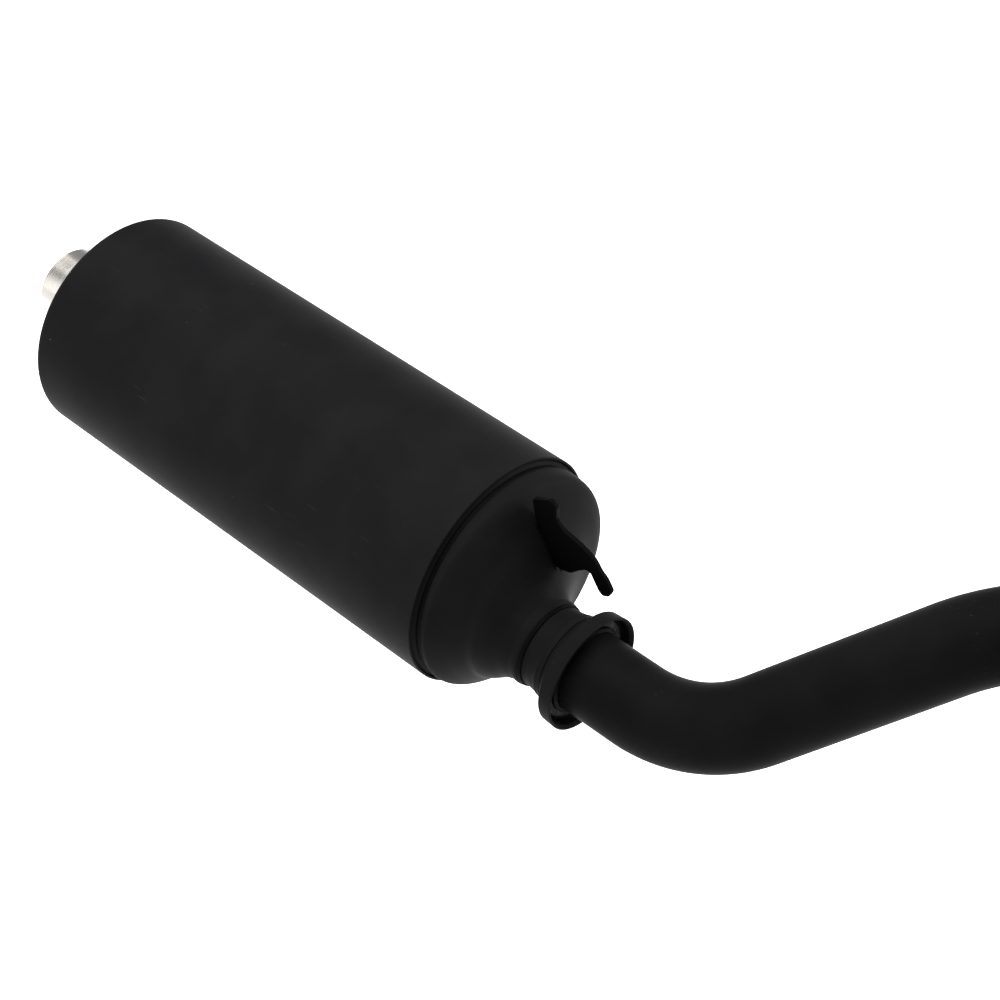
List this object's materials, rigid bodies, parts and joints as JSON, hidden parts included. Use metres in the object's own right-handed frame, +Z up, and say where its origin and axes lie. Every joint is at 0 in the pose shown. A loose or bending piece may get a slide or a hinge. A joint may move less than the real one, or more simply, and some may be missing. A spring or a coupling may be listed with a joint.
{
  "type": "racing exhaust system",
  "caption": "Round black muffler with an eccentric inlet cone, a donut-gasket socket and a bent head pipe ending in a loose bolted port flange.",
  "frame": {"origin": "on the muffler's axis, at the middle of the shell", "axes": "+X along the muffler's axis from the outlet to the inlet, +Z up, +Y to the left of +X"},
  "size_m": [0.7901, 0.2518, 0.2228],
  "materials": {
    "black_shell": "satin black high-temperature coating",
    "black_cone": "matte black high-temperature coating",
    "black_pipe": "satin black high-temperature coating",
    "black_weld": "coated weld bead",
    "bright_steel": "brushed stainless",
    "weld_steel": "heat-tinted weld",
    "plain_steel": "plain stainless sheet",
    "flange_steel": "black coated plate",
    "steel_wool": "stainless wool",
    "glass_fibre": "glass fibre packing",
    "graphite": "graphite and knitted wire",
    "copper": "soft copper crush ring"
  },
  "bodies": {
    "muffler": {"canister_shell": "black_shell", "outlet_cap": "black_shell", "outlet_tip": "bright_steel", "outlet_weld": "weld_steel", "perforated_core": "plain_steel", "front_baffle": "plain_steel", "rear_baffle": "plain_steel", "steel_wool_wrap": "steel_wool", "fibre_packing": "glass_fibre", "inlet_cone": "black_cone", "cone_weld": "black_weld", "socket_sleeve": "black_cone", "neck_weld": "black_weld", "gasket_cup": "black_cone", "cup_weld": "black_weld", "hook_plate": "black_cone"},
    "gasket": {"donut_gasket": "graphite", "gasket_sleeve": "plain_steel"},
    "pipe": {"lower_bend": "black_pipe", "upper_bend": "black_pipe", "port_tube": "black_pipe", "pipe_seat_ring": "black_pipe", "port_ferrule": "black_pipe", "ferrule_weld": "black_weld", "port_gasket": "copper"},
    "flange": {"port_flange": "flange_steel"}
  },
  "joints": [
    {"name": "gasket_tilt", "type": "hinge", "parent": "muffler", "child": "gasket", "pos_m": [0.2854, -0.0236, 0], "axis": [0, 1, 0], "range_deg": [-3, 3]},
    {"name": "pipe_swivel", "type": "hinge", "parent": "gasket", "child": "pipe", "pos_m": [0.2854, -0.0236, 0], "axis": [1, 0, 0], "continuous": true},
    {"name": "flange_spin", "type": "hinge", "parent": "pipe", "child": "flange", "pos_m": [0.53053, 0.14017, 0.10902], "axis": [0.7313, 0.6784, 0.071], "continuous": true}
  ]
}
